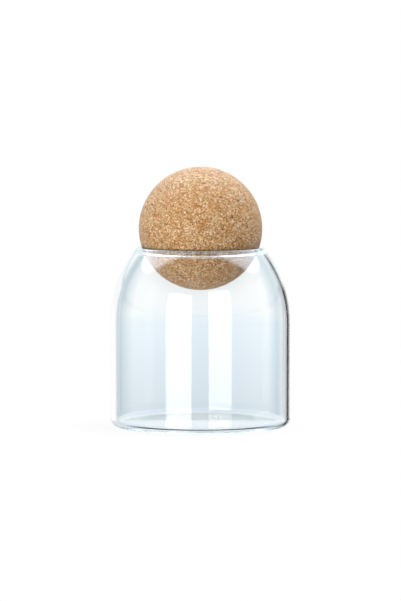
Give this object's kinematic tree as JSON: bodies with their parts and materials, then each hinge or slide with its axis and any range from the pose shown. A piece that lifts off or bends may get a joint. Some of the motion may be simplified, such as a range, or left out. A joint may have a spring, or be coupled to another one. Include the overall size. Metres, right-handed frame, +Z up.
{
  "type": "glass jar with cork ball lid",
  "caption": "Round clear glass storage jar with straight wall, domed shoulder and wide mouth, closed by a loose cork ball that rests on the lip.",
  "frame": {"origin": "centre of the foot, on the table", "axes": "+Z up along the jar's axis, towards the lid; the front view looks along +Y with +X to the right"},
  "size_m": [0.1, 0.1, 0.1438],
  "materials": {
    "borosilicate_glass": "polished",
    "agglomerated_cork": "matte"
  },
  "bodies": {
    "jar": {"glass_jar": "borosilicate_glass"},
    "lid": {"cork_ball": "agglomerated_cork"}
  },
  "joints": [
    {"name": "lid_lift", "type": "slide", "parent": "jar", "child": "lid", "axis": [0, 0, 1], "range_m": [0, 0.1]}
  ]
}
